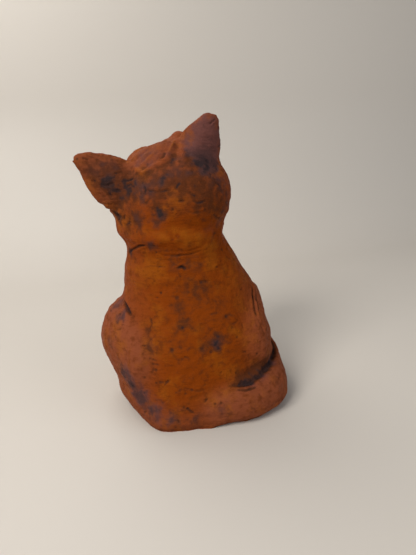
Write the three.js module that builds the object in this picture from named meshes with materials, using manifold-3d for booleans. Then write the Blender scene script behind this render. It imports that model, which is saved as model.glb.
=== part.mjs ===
// Hand-built terracotta cat, seated upright with its head tipped back and to one side.
// Millimetres, +Z up. The cat faces -Y, its left side is +X, and it stands on Z = 0.
// Every piece is a lump or shell of clay that was luted to its neighbours with slip.

import * as THREE from "three";
import { mergeVertices } from "three/addons/utils/BufferGeometryUtils.js";
import Module from "manifold-3d";

const wasm = await Module();
wasm.setup();

// Driving dimensions
const slipGap = 0.3; // slip line left between two luted pieces
const torsoWall = 9;
const headWall = 8;
const neckSeamHeight = 124; // where the collar sits on the body
const neckBore = 24; // radius of the hole between head and body
const headCentre = [3, -3, 166];
const headHalf = [46.5, 43, 39];
const headRoll = 21; // degrees, left ear lowered
const headTurn = -22; // degrees, towards the cat's right
const headLift = 32; // degrees, nose raised
const blockSize = 600; // cutting blocks for the table and the neck seam

// Stations are [x, y, z, halfAcross, halfDeep, squareness], squareness 0 being an ellipse
const torsoStations = [
  [-3, 4, -8, 54, 56, 0.2],
  [-3, 4, 0, 56.5, 60, 0.2],
  [-2.5, 4, 14, 59.8, 60.5, 0.22],
  [-4, 4, 36, 61, 57, 0.3],
  [-4.5, 1, 60, 59, 54, 0.2],
  [-6, -2, 82, 56, 49, 0.1],
  [-6, -4, 97, 52.3, 45],
  [-3, -3.8, 110, 48.5, 42.2],
  [0, -3, 126, 41, 39],
  [3, -2, 142, 42, 39],
];
const collarStations = [
  [-1, -3.5, 116, 44, 40],
  [0.3, -3, 126, 41, 39],
  [2.5, -2.5, 135, 41.5, 39],
  [4.5, -1.5, 144, 43, 39],
  [5, -2, 157, 33, 31.5],
];
const tailStations = [
  [24, 40, 14.5, 13, 15],
  [-4, 51.5, 14.5, 14, 16.5],
  [-19, 56, 14.5, 14.5, 17.5],
  [-35, 57.5, 14, 14.5, 18.5],
  [-53, 50.5, 14, 15, 19],
  [-64.5, 32, 14, 15, 20.5],
  [-69.5, 8, 15, 14, 25],
  [-68.5, -20, 15, 12.5, 24],
  [-63, -46, 13, 11.5, 17],
  [-50, -64, 10.5, 11, 12.5],
  [-34, -72, 8, 8.5, 10],
];
const haunchLeftStations = [
  [32, 42, 27, 23, 17],
  [38, 22, 37, 35, 19],
  [45, -4, 50, 37, 23.5],
  [48, -34, 53, 29, 21],
];
const haunchRightStations = [
  [-34, 44, 28, 25, 18, 0.3],
  [-43, 22, 39, 40, 24.5, 0.2],
  [-46.5, -4, 53, 42, 24, 0.45],
  [-47, -34, 57, 33, 21, 0.4],
];

const hindFootLeftStations = [
  [42, 8, 9, 12, 9],
  [45, -20, 10, 13, 11],
  [45, -46, 10, 14, 11.5],
  [44, -66, 8, 12, 9],
];
const hindFootRightStations = [
  [-46, 8, 9, 12, 9],
  [-47, -18, 10, 13, 11],
  [-45, -42, 10, 14, 11.5],
  [-43, -60, 8, 12, 9],
];

// Left foreleg and paw; the right-hand ones are mirrored across X = 0
const forelegStations = [
  [25, -15, 114, 16, 17],
  [25, -31, 96, 19.5, 21],
  [24, -44, 67, 18.5, 18.5],
  [21, -51, 38, 15.5, 16],
  [20, -53, 12, 14.5, 15],
  [20, -53, -12, 14.5, 15],
];
const forepawStations = [
  [20, -44, 9, 14, 10],
  [20, -60, 11.5, 17, 12.5],
  [20, -79, 8, 13, 9],
];

// Head pieces, in the head's own frame before it is tipped
const ears = {
  left: { base: [23.2, 7.4, 27.6], tip: [44.4, -3.7, 63.1], facing: [-0.4, 0.75, 0.5], halfWidth: 20 },
  right: { base: [-29.2, -7.2, 17.8], tip: [-52.5, -17.7, 41.2], facing: [0, 0.88, 0.45], halfWidth: 17 },
};
const earWidths = [1, 0.98, 0.87, 0.69, 0.48, 0.28]; // shares of the half width, base to tip
const earThickness = [8, 6.5, 5, 4, 3.2, 2.6]; // half thickness, base to tip
const earCurl = 0.34; // how far the rims curl forward, as a share of the half width

const skullEgg = { at: [0, 0, 0], half: headHalf, turn: [0, 0, 0] };
const brow = { at: [15.5, -31.5, 19.5], half: [14, 8.5, 7], turn: [-35, 0, 16] };
const foreheadFold = { at: [-3, -9, 36], half: [19, 6, 5.5], turn: [0, 0, 0] };
const eye = { at: [18.5, -33.5, 7.5], half: [13, 10, 10], turn: [0, 0, 24] };
const cheek = { at: [23, -19, -11.5], half: [20, 22, 19], turn: [0, 0, 20] };
const bridge = { at: [0, -40, 8], half: [10, 18, 9.5], turn: [24, 0, 0] };
const muzzle = { at: [11, -42.5, -11], half: [16.5, 18, 13.5], turn: [0, 0, 12] };
const nose = { at: [0, -58, -2], half: [9, 6.5, 6.5], turn: [20, 0, 0] };
const chin = { at: [0, -41, -25], half: [17, 15, 9.5], turn: [0, 0, 0] };

const degrees = THREE.MathUtils.degToRad;
const vector = (values) => new THREE.Vector3(...values);
const up = new THREE.Vector3(0, 0, 1);
const outward = new THREE.Vector3(1, 0, 0);
const front = new THREE.Vector3(0, -1, 0);

// The head's frame: roll about Y, then turn about Z, then lift about X
const headGroup = new THREE.Group();
headGroup.position.set(...headCentre);
headGroup.rotation.set(degrees(-headLift), degrees(headRoll), degrees(headTurn), "YZX");
headGroup.updateMatrix();
const headToBody = headGroup.matrix;
const bodyToHead = headToBody.clone().invert();

function smoothCurve(points) {
  return new THREE.CatmullRomCurve3(points, false, "catmullrom");
}

function squared(value, power) {
  return Math.sign(value) * Math.abs(value) ** power;
}

// Elliptical slices along a smooth spine. Level slices lie flat; the others stand square to the
// spine with their depth towards `facing`. Round ends close like a dome, the others are cut flat.
function sweep(stations, { sides, slices, facing = null, round = false, curl = 0, grow = 0 }) {
  const spine = smoothCurve(stations.map(([x, y, z]) => new THREE.Vector3(x, y, z)));
  const halves = smoothCurve(stations.map(([, , , ...sizes]) => new THREE.Vector3(...sizes, 0)));
  const domeShare = 0.5 / (stations.length - 1);
  const first = round ? 1 : 0;
  const positions = [];
  const tangentStart = spine.getTangent(0);
  const tangentEnd = spine.getTangent(1);
  positions.push(...spine.getPoint(0).addScaledVector(tangentStart, -grow));
  for (let slice = first; slice <= slices - first; slice++) {
    const share = round ? (1 - Math.cos((Math.PI * slice) / slices)) / 2 : slice / slices;
    const toEnd = Math.min(share, 1 - share);
    const dome = round && toEnd < domeShare ? Math.sqrt(1 - (1 - toEnd / domeShare) ** 2) : 1;
    const half = halves.getPoint(share);
    const centre = spine.getPoint(share);
    const tangent = spine.getTangent(share);
    const across = facing ? facing.clone().cross(tangent).normalize() : new THREE.Vector3(1, 0, 0);
    const deep = facing ? tangent.clone().cross(across) : new THREE.Vector3(0, 1, 0);
    for (let side = 0; side < sides; side++) {
      const angle = (2 * Math.PI * side) / sides;
      const power = 2 / (2 + half.z);
      const alongAcross = (half.x * dome + grow) * squared(Math.cos(angle), power);
      const bend = curl * half.x * dome * Math.cos(angle) ** 2;
      const alongDeep = (half.y * dome + grow) * squared(Math.sin(angle), power) - bend;
      positions.push(...centre.clone().addScaledVector(across, alongAcross).addScaledVector(deep, alongDeep));
    }
  }
  positions.push(...spine.getPoint(1).addScaledVector(tangentEnd, grow));
  return ringSurface(positions, sides);
}

// Closes a pole, rings of `sides` points and a second pole into one outward-facing surface
function ringSurface(positions, sides) {
  const last = positions.length / 3 - 1;
  const rings = (last - 1) / sides;
  const faces = [];
  for (let side = 0; side < sides; side++) {
    const next = (side + 1) % sides;
    faces.push(0, 1 + next, 1 + side);
    for (let ring = 0; ring < rings - 1; ring++) {
      const lower = 1 + ring * sides;
      const upper = lower + sides;
      faces.push(lower + side, lower + next, upper + next);
      faces.push(lower + side, upper + next, upper + side);
    }
    const top = 1 + (rings - 1) * sides;
    faces.push(last, top + side, top + next);
  }
  const geometry = new THREE.BufferGeometry();
  geometry.setAttribute("position", new THREE.Float32BufferAttribute(positions, 3));
  geometry.setIndex(faces);
  return geometry;
}

// A pellet of clay pressed to an egg shape
function pellet({ at, half, turn }, { sides = 12, rings = 8, grow = 0 } = {}) {
  const geometry = bare(new THREE.SphereGeometry(1, sides, rings));
  geometry.rotateX(Math.PI / 2);
  geometry.scale(half[0] + grow, half[1] + grow, half[2] + grow);
  const turned = new THREE.Euler(...turn.map(degrees), "ZYX");
  geometry.applyMatrix4(new THREE.Matrix4().makeRotationFromEuler(turned));
  return geometry.translate(...at);
}

function block(at) {
  return bare(new THREE.BoxGeometry(blockSize, blockSize, blockSize)).translate(...at);
}

// Keeps positions alone, with shared corners merged
function bare(geometry) {
  geometry.deleteAttribute("normal");
  geometry.deleteAttribute("uv");
  return mergeVertices(geometry);
}

function mirrored(stations) {
  return stations.map(([x, ...rest]) => [-x, ...rest]);
}

function mirroredPellet({ at, half, turn }) {
  return { at: [-at[0], at[1], at[2]], half, turn: [turn[0], -turn[1], -turn[2]] };
}

// A cupped leaf from its base to its rounded tip
function earForm({ base, tip, facing, halfWidth }, grow) {
  const stations = earWidths.map((share, index) => {
    const along = index / (earWidths.length - 1);
    const point = vector(base).lerp(vector(tip), along);
    return [...point, halfWidth * share, earThickness[index]];
  });
  const shape = { sides: 16, slices: 9, facing: vector(facing).normalize(), round: true };
  return sweep(stations, { ...shape, curl: earCurl, grow });
}

function haunchForm(stations, grow) {
  return sweep(stations, { sides: 18, slices: 12, facing: outward, round: true, grow });
}

function footForm(stations, grow) {
  return sweep(stations, { sides: 12, slices: 9, facing: up, round: true, grow });
}

function forelegForm(stations, grow) {
  return sweep(stations, { sides: 14, slices: 12, facing: front, round: true, grow });
}

function solidOf(geometry) {
  const vertProperties = new Float32Array(geometry.attributes.position.array);
  const triVerts = new Uint32Array(geometry.index.array);
  return new wasm.Manifold(new wasm.Mesh({ numProp: 3, vertProperties, triVerts }));
}

// The hollows, open at the neck, and under the body
function thinned(stations) {
  return stations.map(([x, y, z, across, deep, squareness = 0]) => {
    return [x, y, z, across - torsoWall, deep - torsoWall, squareness];
  });
}

function torsoHollow() {
  return sweep(thinned(torsoStations), { sides: 20, slices: 8 });
}

function collarHollow() {
  return sweep(thinned(collarStations), { sides: 20, slices: 4 });
}

function headHollow() {
  const inner = { ...skullEgg, half: headHalf.map((size) => size - headWall) };
  return pellet(inner, { sides: 18, rings: 10 });
}

// A plumb hole down through the underside of the head
function headMouth() {
  const hole = bare(new THREE.CylinderGeometry(neckBore, neckBore, headCentre[2], 28));
  hole.rotateX(Math.PI / 2);
  hole.translate(headCentre[0], headCentre[1], headCentre[2] / 2);
  return hole.applyMatrix4(bodyToHead);
}

const halfBlock = blockSize / 2;
const table = solidOf(block([0, 0, -halfBlock]));
const aboveSeam = solidOf(block([0, 0, neckSeamHeight + halfBlock]));
const belowSeam = solidOf(block([0, 0, neckSeamHeight + slipGap - halfBlock]));

// The two whisker pads part at the face's midline
const midline = slipGap / 2;
const rightOfMidline = solidOf(block([midline - halfBlock, 0, 0]));
const leftOfMidline = solidOf(block([halfBlock - midline, 0, 0]));

const bodyPieces = [
  ["torso_shell", (grow) => sweep(torsoStations, { sides: 34, slices: 17, grow })],
  ["haunch_left", (grow) => haunchForm(haunchLeftStations, grow)],
  ["haunch_right", (grow) => haunchForm(haunchRightStations, grow)],
  ["hind_foot_left", (grow) => footForm(hindFootLeftStations, grow)],
  ["hind_foot_right", (grow) => footForm(hindFootRightStations, grow)],
  ["foreleg_left", (grow) => forelegForm(forelegStations, grow)],
  ["foreleg_right", (grow) => forelegForm(mirrored(forelegStations), grow)],
  ["forepaw_left", (grow) => footForm(forepawStations, grow)],
  ["forepaw_right", (grow) => footForm(mirrored(forepawStations), grow)],
  ["tail", (grow) => sweep(tailStations, { sides: 14, slices: 28, facing: up, round: true, grow })],
];
const headPieces = [
  ["head_shell", (grow) => pellet(skullEgg, { sides: 28, rings: 16, grow })],
  ["ear_left", (grow) => earForm(ears.left, grow)],
  ["ear_right", (grow) => earForm(ears.right, grow)],
  ["eye_left", (grow) => pellet(eye, { grow })],
  ["eye_right", (grow) => pellet(mirroredPellet(eye), { grow })],
  ["cheek_left", (grow) => pellet(cheek, { sides: 14, rings: 9, grow })],
  ["cheek_right", (grow) => pellet(mirroredPellet(cheek), { sides: 14, rings: 9, grow })],
  ["brow_left", (grow) => pellet(brow, { grow })],
  ["brow_right", (grow) => pellet(mirroredPellet(brow), { grow })],
  ["forehead_fold", (grow) => pellet(foreheadFold, { grow })],
  ["nose_bridge", (grow) => pellet(bridge, { grow })],
  ["nose", (grow) => pellet(nose, { grow })],
  ["muzzle_left", (grow) => pellet(muzzle, { grow }), rightOfMidline],
  ["muzzle_right", (grow) => pellet(mirroredPellet(muzzle), { grow }), leftOfMidline],
  ["chin", (grow) => pellet(chin, { grow })],
];

// Each piece in a list is cut back where it meets those before it, keeping the slip gap
function lutedSolids(pieces) {
  const solids = new Map();
  const before = [];
  for (const [name, form, otherSide] of pieces) {
    let solid = solidOf(form(0));
    let grown = solidOf(form(slipGap));
    if (otherSide) {
      solid = solid.subtract(otherSide);
      grown = grown.subtract(otherSide);
    }
    for (const neighbour of before) solid = solid.subtract(neighbour);
    before.push(grown);
    solids.set(name, solid);
  }
  return solids;
}

// The largest body of a cut piece; scraps are wiped away
function largest(solid) {
  return solid.decompose().reduce((a, b) => (a.volume() > b.volume() ? a : b));
}

function clayMesh(name, solid) {
  const { vertProperties, triVerts } = largest(solid).getMesh();
  const geometry = new THREE.BufferGeometry();
  geometry.setAttribute("position", new THREE.BufferAttribute(vertProperties, 3));
  geometry.setIndex(new THREE.BufferAttribute(triVerts, 1));
  geometry.computeVertexNormals();
  const material = new THREE.MeshStandardMaterial({ color: 0x8f4a1e, roughness: 0.55, metalness: 0 });
  const mesh = new THREE.Mesh(geometry, material);
  mesh.name = name;
  return mesh;
}

const bodySolids = lutedSolids(bodyPieces);
const torso = bodySolids.get("torso_shell");
bodySolids.set("torso_shell", torso.subtract(aboveSeam).subtract(solidOf(torsoHollow())));

const headSolids = lutedSolids(headPieces);
const skull = headSolids.get("head_shell");
headSolids.set("head_shell", skull.subtract(solidOf(headHollow())).subtract(solidOf(headMouth())));

// The collar fills the space between the body's seam and the head with its cheeks and chin
let collar = solidOf(sweep(collarStations, { sides: 28, slices: 6 }));
collar = collar.subtract(belowSeam).subtract(solidOf(collarHollow()));
for (const [, form] of headPieces) {
  collar = collar.subtract(solidOf(form(slipGap).applyMatrix4(headToBody)));
}
bodySolids.set("neck_collar", collar);

const cat = new THREE.Group();
for (const [name, solid] of bodySolids) cat.add(clayMesh(name, solid.subtract(table)));
for (const [name, solid] of headSolids) headGroup.add(clayMesh(name, solid));
cat.add(headGroup);

// The origin is on the table, under the middle of the whole figure
const extent = new THREE.Box3().setFromObject(cat, true);
const middle = extent.getCenter(new THREE.Vector3());
cat.position.set(-middle.x, -middle.y, 0);

export default cat;
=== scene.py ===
import math

import bmesh
import bpy
import numpy as np
from mathutils import Matrix, Vector, noise
from mathutils.bvhtree import BVHTree


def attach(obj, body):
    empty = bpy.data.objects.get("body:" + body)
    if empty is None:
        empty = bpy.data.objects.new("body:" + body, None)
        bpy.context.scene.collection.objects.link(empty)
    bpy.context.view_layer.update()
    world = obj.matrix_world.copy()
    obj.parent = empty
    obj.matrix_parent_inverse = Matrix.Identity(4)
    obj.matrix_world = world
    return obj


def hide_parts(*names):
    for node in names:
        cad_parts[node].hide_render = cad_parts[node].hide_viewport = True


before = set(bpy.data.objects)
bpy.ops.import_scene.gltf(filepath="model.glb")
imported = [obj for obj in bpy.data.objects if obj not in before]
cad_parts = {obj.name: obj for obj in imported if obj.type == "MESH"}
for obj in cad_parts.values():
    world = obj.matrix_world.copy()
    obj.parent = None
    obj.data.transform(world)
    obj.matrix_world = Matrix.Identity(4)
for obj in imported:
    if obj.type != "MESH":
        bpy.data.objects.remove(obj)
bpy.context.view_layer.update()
mm = 0.001
print("frame loaded,", len(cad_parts), "nodes")

# camera: held above the table, behind the cat and a little to its left
photoCamera = {
    "eye": (62.51, 325.02, 204.0),  # mm
    "right": (-0.96646, 0.25386, -0.03887),
    "up": (-0.11367, -0.28713, 0.95112),
    "lens": 27.05,  # mm
    "sensor": 36,  # mm along the picture's longer side
    "clipStart": 0.01,  # m
    "frame": (416, 555),  # pixels
}
eye = Vector(photoCamera["eye"])
camRight = Vector(photoCamera["right"]).normalized()
camUp = Vector(photoCamera["up"]).normalized()
camBack = camRight.cross(camUp)


def addCamera():
    lens = bpy.data.cameras.new("photoCamera")
    lens.sensor_width = photoCamera["sensor"]
    lens.lens = photoCamera["lens"]
    lens.clip_start = photoCamera["clipStart"]
    camera = bpy.data.objects.new("photoCamera", lens)
    bpy.context.collection.objects.link(camera)
    turn = Matrix((camRight, camUp, camBack)).transposed().to_4x4()
    camera.matrix_world = Matrix.Translation(eye * mm) @ turn
    bpy.context.scene.camera = camera


addCamera()
print("camera set")

# studio: pale table that bends up into a wall, soft daylight from the camera's left; m and W
studio = {
    "tableColor": (0.54, 0.500, 0.447, 1),
    "tableRoughness": 0.55,
    "tableSize": 1.6,
    "wallBehind": 0.62,
    "wallHeight": 1.1,
    "bend": 0.3,
    "bendSegments": 16,
    "aim": (0.0, 0.0, 0.1),
    "lamps": {
        "softKey": {"place": (0.80, 0.60, 0.95), "power": 16.5, "size": 0.6, "color": (1.0, 0.97, 0.93)},
        "softFill": {"place": (-0.9, 0.75, 0.5), "power": 4.3, "size": 0.9, "color": (0.93, 0.96, 1.0)},
        "softFront": {"place": (0.25, -0.42, 0.78), "power": 2.8, "size": 0.5, "color": (1.0, 0.98, 0.95)},
    },
    "world": (0.62, 0.64, 0.68, 1),
    "worldStrength": 0.38,
}


def meshObject(bm, name):
    mesh = bpy.data.meshes.new(name)
    bm.to_mesh(mesh)
    bm.free()
    made = bpy.data.objects.new(name, mesh)
    bpy.context.collection.objects.link(made)
    return made


def addLight(name, place, power, size, color):
    lamp = bpy.data.lights.new(name, "AREA")
    lamp.energy = power
    lamp.size = size
    lamp.color = color
    light = bpy.data.objects.new(name, lamp)
    light.location = place
    aim = Vector(studio["aim"]) - Vector(place)
    light.rotation_euler = aim.to_track_quat("-Z", "Y").to_euler()
    bpy.context.collection.objects.link(light)


def addTable():
    bm = bmesh.new()
    bmesh.ops.create_grid(bm, x_segments=1, y_segments=1, size=studio["tableSize"])
    bmesh.ops.translate(bm, verts=bm.verts, vec=(0, studio["tableSize"] - studio["wallBehind"], 0))
    back = min(bm.edges, key=lambda e: sum(v.co.y for v in e.verts))
    raised = bmesh.ops.extrude_edge_only(bm, edges=[back])["geom"]
    top = [v for v in raised if isinstance(v, bmesh.types.BMVert)]
    bmesh.ops.translate(bm, verts=top, vec=(0, 0, studio["wallHeight"]))
    bmesh.ops.bevel(bm, geom=[back], offset=studio["bend"], offset_type="OFFSET", affect="EDGES",
                    segments=studio["bendSegments"], profile=0.5, material=-1)
    bmesh.ops.recalc_face_normals(bm, faces=bm.faces)
    for face in bm.faces:
        face.smooth = True
    table = meshObject(bm, "paleTable")
    paint = bpy.data.materials.new("paleTable")
    paint.use_nodes = True
    shader = paint.node_tree.nodes["Principled BSDF"]
    shader.inputs["Base Color"].default_value = studio["tableColor"]
    shader.inputs["Roughness"].default_value = studio["tableRoughness"]
    table.data.materials.append(paint)


def addStudio():
    addTable()
    for name, lamp in studio["lamps"].items():
        addLight(name, **lamp)
    world = bpy.data.worlds.new("softRoom")
    world.use_nodes = True
    background = world.node_tree.nodes["Background"]
    background.inputs["Color"].default_value = studio["world"]
    background.inputs["Strength"].default_value = studio["worldStrength"]
    bpy.context.scene.world = world
    bpy.context.scene.view_settings.view_transform = "Standard"


addStudio()
print("studio set")

# clay skin: all lumps pressed together, then smoothed over with a wet thumb
claySkin = {
    "mergeGap": 0.002,  # mm
    "slipFill": 0.22,  # mm each lump swells to close the slip lines
    "plugScale": (0.93, 0.93, 0.97, 1),  # of a hollow lump's hull, which fills it
    "grain": 1.6,  # mm between points before the last subdivision
    "wetSmooth": 3,  # rounds over the whole skin
    "joinSmooth": 26,  # rounds along the joins
    "joinReach": 3,  # rows of points beside a join
    "thumb": 0.5,
}
nodeNames = sorted(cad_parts)
hollowNodes = ("torso_shell", "neck_collar", "head_shell")


# a value for a node, under its own name or under its name without its side
def nodeValue(values, node, other=None):
    return values.get(node, values.get(node.rsplit("_", 1)[0], other))


def lumpCopy(name):
    bm = bmesh.new()
    bm.from_mesh(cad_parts[name].data)
    bmesh.ops.remove_doubles(bm, verts=bm.verts, dist=claySkin["mergeGap"] * mm)
    bm.normal_update()
    for vert in bm.verts:
        vert.co += vert.normal * claySkin["slipFill"] * mm
    return bm


def plugHollow(bm):
    hull = bmesh.ops.convex_hull(bm, input=bm.verts, use_existing_faces=False)
    spare = [g for g in hull["geom_interior"] + hull["geom_unused"] if isinstance(g, bmesh.types.BMVert)]
    bmesh.ops.delete(bm, geom=list(set(spare)), context="VERTS")
    middle = sum((v.co for v in bm.verts), Vector()) / len(bm.verts)
    less = Matrix.Diagonal(claySkin["plugScale"])
    shrink = Matrix.Translation(middle) @ less @ Matrix.Translation(-middle)
    bmesh.ops.transform(bm, matrix=shrink, verts=bm.verts)


def appliedMesh(made):
    graph = bpy.context.evaluated_depsgraph_get()
    mesh = bpy.data.meshes.new_from_object(made.evaluated_get(graph))
    made.modifiers.clear()
    made.data = mesh


def pressTogether():
    whole = bmesh.new()
    for name in nodeNames:
        lump = lumpCopy(name)
        scratch = bpy.data.meshes.new("lump")
        lump.to_mesh(scratch)
        whole.from_mesh(scratch)
        if name in hollowNodes:
            plugHollow(lump)
            lump.to_mesh(scratch)
            whole.from_mesh(scratch)
        lump.free()
        bpy.data.meshes.remove(scratch)
    skin = meshObject(whole, "claySkin")
    remesh = skin.modifiers.new("pressed", "REMESH")
    remesh.mode = "VOXEL"
    remesh.voxel_size = claySkin["grain"] * mm
    remesh.use_smooth_shade = True
    appliedMesh(skin)
    return skin


skin = pressTogether()
print("lumps pressed together,", len(skin.data.polygons), "faces")


# which lump each point of the skin belongs to
def lumpFinder():
    corners, faces, owners = [], [], []
    for index, name in enumerate(nodeNames):
        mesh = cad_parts[name].data
        start = len(corners)
        corners += [v.co.copy() for v in mesh.vertices]
        faces += [[start + i for i in p.vertices] for p in mesh.polygons]
        owners += [index] * len(mesh.polygons)
    return BVHTree.FromPolygons(corners, faces), owners


lumpTree, lumpOwners = lumpFinder()


def ownerOf(point):
    return lumpOwners[lumpTree.find_nearest(point)[2]]


def wetThumb():
    bm = bmesh.new()
    bm.from_mesh(skin.data)
    bm.verts.ensure_lookup_table()
    owner = [ownerOf(v.co) for v in bm.verts]

    def atJoin(vert):
        return any(owner[e.other_vert(vert).index] != owner[vert.index] for e in vert.link_edges)

    joins = {v for v in bm.verts if atJoin(v)}
    for _ in range(claySkin["joinReach"]):
        joins |= {e.other_vert(v) for v in joins for e in v.link_edges}
    joins = sorted(joins, key=lambda v: v.index)
    rub = {"factor": claySkin["thumb"], "use_axis_x": True, "use_axis_y": True, "use_axis_z": True}
    for _ in range(claySkin["joinSmooth"]):
        bmesh.ops.smooth_vert(bm, verts=joins, **rub)
    for _ in range(claySkin["wetSmooth"]):
        bmesh.ops.smooth_vert(bm, verts=bm.verts, **rub)
    bm.to_mesh(skin.data)
    bm.free()
    finer = skin.modifiers.new("finer", "SUBSURF")
    finer.levels = 1
    finer.render_levels = 1
    appliedMesh(skin)


wetThumb()
pointCount = len(skin.data.vertices)
print("joins rubbed smooth,", pointCount, "points")


# the skin as arrays in mm, for the modelling tools below
def readSkin(name):
    values = np.empty(pointCount * 3)
    skin.data.vertices.foreach_get(name, values)
    return values.reshape(-1, 3)


def treeOf(points):
    faces = [tuple(p.vertices) for p in skin.data.polygons]
    return BVHTree.FromPolygons([Vector(p) for p in points], faces)


restPlace = readSkin("co") / mm
skinTree = treeOf(restPlace)
focal = photoCamera["lens"] / photoCamera["sensor"] * photoCamera["frame"][1]  # pixels


# the skin's point behind a pixel of the photograph
def pixelHit(pixel):
    across = (pixel[0] - photoCamera["frame"][0] / 2) / focal
    down = (pixel[1] - photoCamera["frame"][1] / 2) / focal
    aim = camRight * across - camUp * down - camBack
    return skinTree.ray_cast(eye, aim.normalized())[0]


def between(start, end, share):
    return start[0] + (end[0] - start[0]) * share, start[1] + (end[1] - start[1]) * share


def pixelPath(pixels):
    hits = []
    for start, end in zip(pixels, pixels[1:]):
        steps = max(2, int(math.dist(start, end)))
        hits += [pixelHit(between(start, end, step / steps)) for step in range(steps)]
    return hits + [pixelHit(pixels[-1])]


# skin points within reach of a path: which they are, their distance, and their share of the way along
def alongPath(path, reach):
    line = np.array(path)
    near = np.all((restPlace > line.min(0) - reach) & (restPlace < line.max(0) + reach), axis=1)
    chosen = np.nonzero(near)[0]
    gaps = np.linalg.norm(restPlace[chosen, None, :] - line[None, :, :], axis=2)
    closest = gaps.argmin(1)
    return chosen, gaps.min(1), closest / max(1, len(line) - 1)


# strokes that true up the outline: pixel, radius in mm, move right and down in pixels
grabs = [
    (78, 171, 7, 2.3, -1.7), (82, 154, 7, 0.0, 1.5), (124, 162, 5, 0.0, 1.4), (113, 209, 5, -4.5, 1.0),
    (104, 208, 3.5, 0.8, -2.4), (110.5, 209, 3.5, 0.0, 1.4), (117.5, 223, 6, -2.0, 0.0),
    (122, 240, 8, 2.8, 0.0), (123, 277, 8, 2.0, 0.0), (113, 301, 8, 2.6, 1.0), (104, 315, 9, 2.6, 0.0),
    (107, 358, 8, 1.4, 0.0), (122, 389, 10, -2.2, 0.0), (134, 407, 8, 1.0, -0.6), (215, 118, 6, 1.4, -1.2),
    (189, 128, 7, -1.2, -1.0), (180, 134, 6, -0.4, -2.0), (167, 137, 5, 0.6, 2.4), (222, 169, 7, -3.4, 0.0),
    (225, 213, 6, 2.2, 0.0), (226, 231, 8, -4.0, 0.0), (241, 263, 10, -2.2, 0.6),
    (253.5, 286, 6, 2.2, -0.6), (266, 314, 9, -2.6, 0.0), (282, 358, 8, -2.2, 0.0), (285, 398, 9, 1.6, 0.6),
]
# the same along the table, towards the camera: pixel, radius and move in mm
footGrabs = [(158, 425, 12, 4.5), (172, 428, 12, 2.5), (190, 428, 10, 1.5), (214, 423, 9, 4.5)]
grabReach = {
    "depth": 18,  # mm before and behind the rim
    "faceOn": 12,  # pixels that a point seen face-on counts as further off
}
# mm that the lowest edge rolls under, and how high; more towards the tail
footRoll = {"round": 2.2, "tailRound": 4.0, "height": 9.0, "tailFar": 50}


# the skin point nearest to a pixel that is seen edge-on, and the size of a pixel there
def rimPoint(pixel):
    away = restPlace - np.array(eye)
    depth = -away @ np.array(camBack)
    across = away @ np.array(camRight) / depth * focal + photoCamera["frame"][0] / 2 - pixel[0]
    down = photoCamera["frame"][1] / 2 - away @ np.array(camUp) / depth * focal - pixel[1]
    sideOn = np.abs((restNormal * away).sum(1)) / np.linalg.norm(away, axis=1)
    nearest = (np.hypot(across, down) + grabReach["faceOn"] * sideOn).argmin()
    return restPlace[nearest], depth[nearest] / focal


def grabSkin():
    slide = np.zeros_like(restPlace)
    for *pixel, radius, moveRight, moveDown in grabs:
        rim, pixelSize = rimPoint(pixel)
        move = np.array((camRight * moveRight - camUp * moveDown) * pixelSize)
        offset = restPlace - rim
        deep = offset @ np.array(camBack)
        inPicture = np.hypot(offset @ np.array(camRight), offset @ np.array(camUp))
        close = np.exp(-(inPicture / radius) ** 2 - (deep / grabReach["depth"]) ** 2)
        slide += close[:, None] * move
    towards = np.array((camBack.x, camBack.y, 0.0)) / math.hypot(camBack.x, camBack.y)
    for *pixel, radius, near in footGrabs:
        rim, _ = rimPoint(pixel)
        gap = np.linalg.norm(restPlace - rim, axis=1)
        slide += np.exp(-(gap / radius) ** 2)[:, None] * towards * near
    low = np.clip(1 - restPlace[:, 2] / footRoll["height"], 0, 1) ** 2
    tailSide = np.clip(-restPlace[:, 0] / footRoll["tailFar"], 0, 1)
    rolled = low * (footRoll["round"] + footRoll["tailRound"] * tailSide)
    slide -= restNormal * np.array((1, 1, 0)) * rolled[:, None]
    restPlace[:] += slide
    restPlace[:, 2] = np.maximum(restPlace[:, 2], 0.0)
    skin.data.vertices.foreach_set("co", (restPlace * mm).ravel())
    skin.data.update()


restNormal = readSkin("normal")
grabSkin()
skinTree = treeOf(restPlace)
restNormal = readSkin("normal")
push = np.zeros(pointCount)  # mm along the normal
# the dark wash and marks, with painted shade; below nought the wash rubbed off, and painted light
stain = np.zeros(pointCount)
smoke = np.zeros(pointCount)
blush = np.zeros(pointCount)
print("outline trued up,", len(grabs) + len(footGrabs), "strokes")

noiseSlant = (1, 0.37, -0.61)


# smooth noise over the skin; size in mm, and another shift gives another pattern
def noiseField(size, stretch=(1, 1, 1), shift=0.0):
    offset = Vector([shift * part for part in noiseSlant])
    scaled = restPlace / (np.array(stretch) * size)
    return np.array([noise.noise(Vector(p) + offset) for p in scaled])


# unevenness of cuts and blotches, in layers: size in mm, strength, shift
uneven = {
    "ragged": [(6.0, 1.0, 41.0), (2.4, 0.6, 77.0)],
    "mottle": [(4.6, 1.3, 19.0), (1.9, 0.7, 35.0)], "mottleMiddle": 0.55, "mottleMost": 1.4,
    "blotches": [(11, 1.0, 57.0), (4.95, 0.5, 63.0)],
}


def layered(layers):
    return sum(gain * noiseField(size, shift=shift) for size, gain, shift in layers)


ragged = layered(uneven["ragged"])
mottle = np.clip(uneven["mottleMiddle"] + layered(uneven["mottle"]), 0, uneven["mottleMost"])

# how a cut runs out: distances in its widths, or in a dent's radii
cut = {
    "reach": 5, "dentReach": 3,
    "endFade": 5, "endLeft": 0.25,  # slope per share of its length, and the depth left at its ends
    "facingGain": 3,
    "raggedGain": 0.4, "least": 0.5, "most": 1.4,
    "lipPlace": 1.9,
    "stainSpread": 1.3, "dentStainSpread": 1.2,
}


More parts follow.
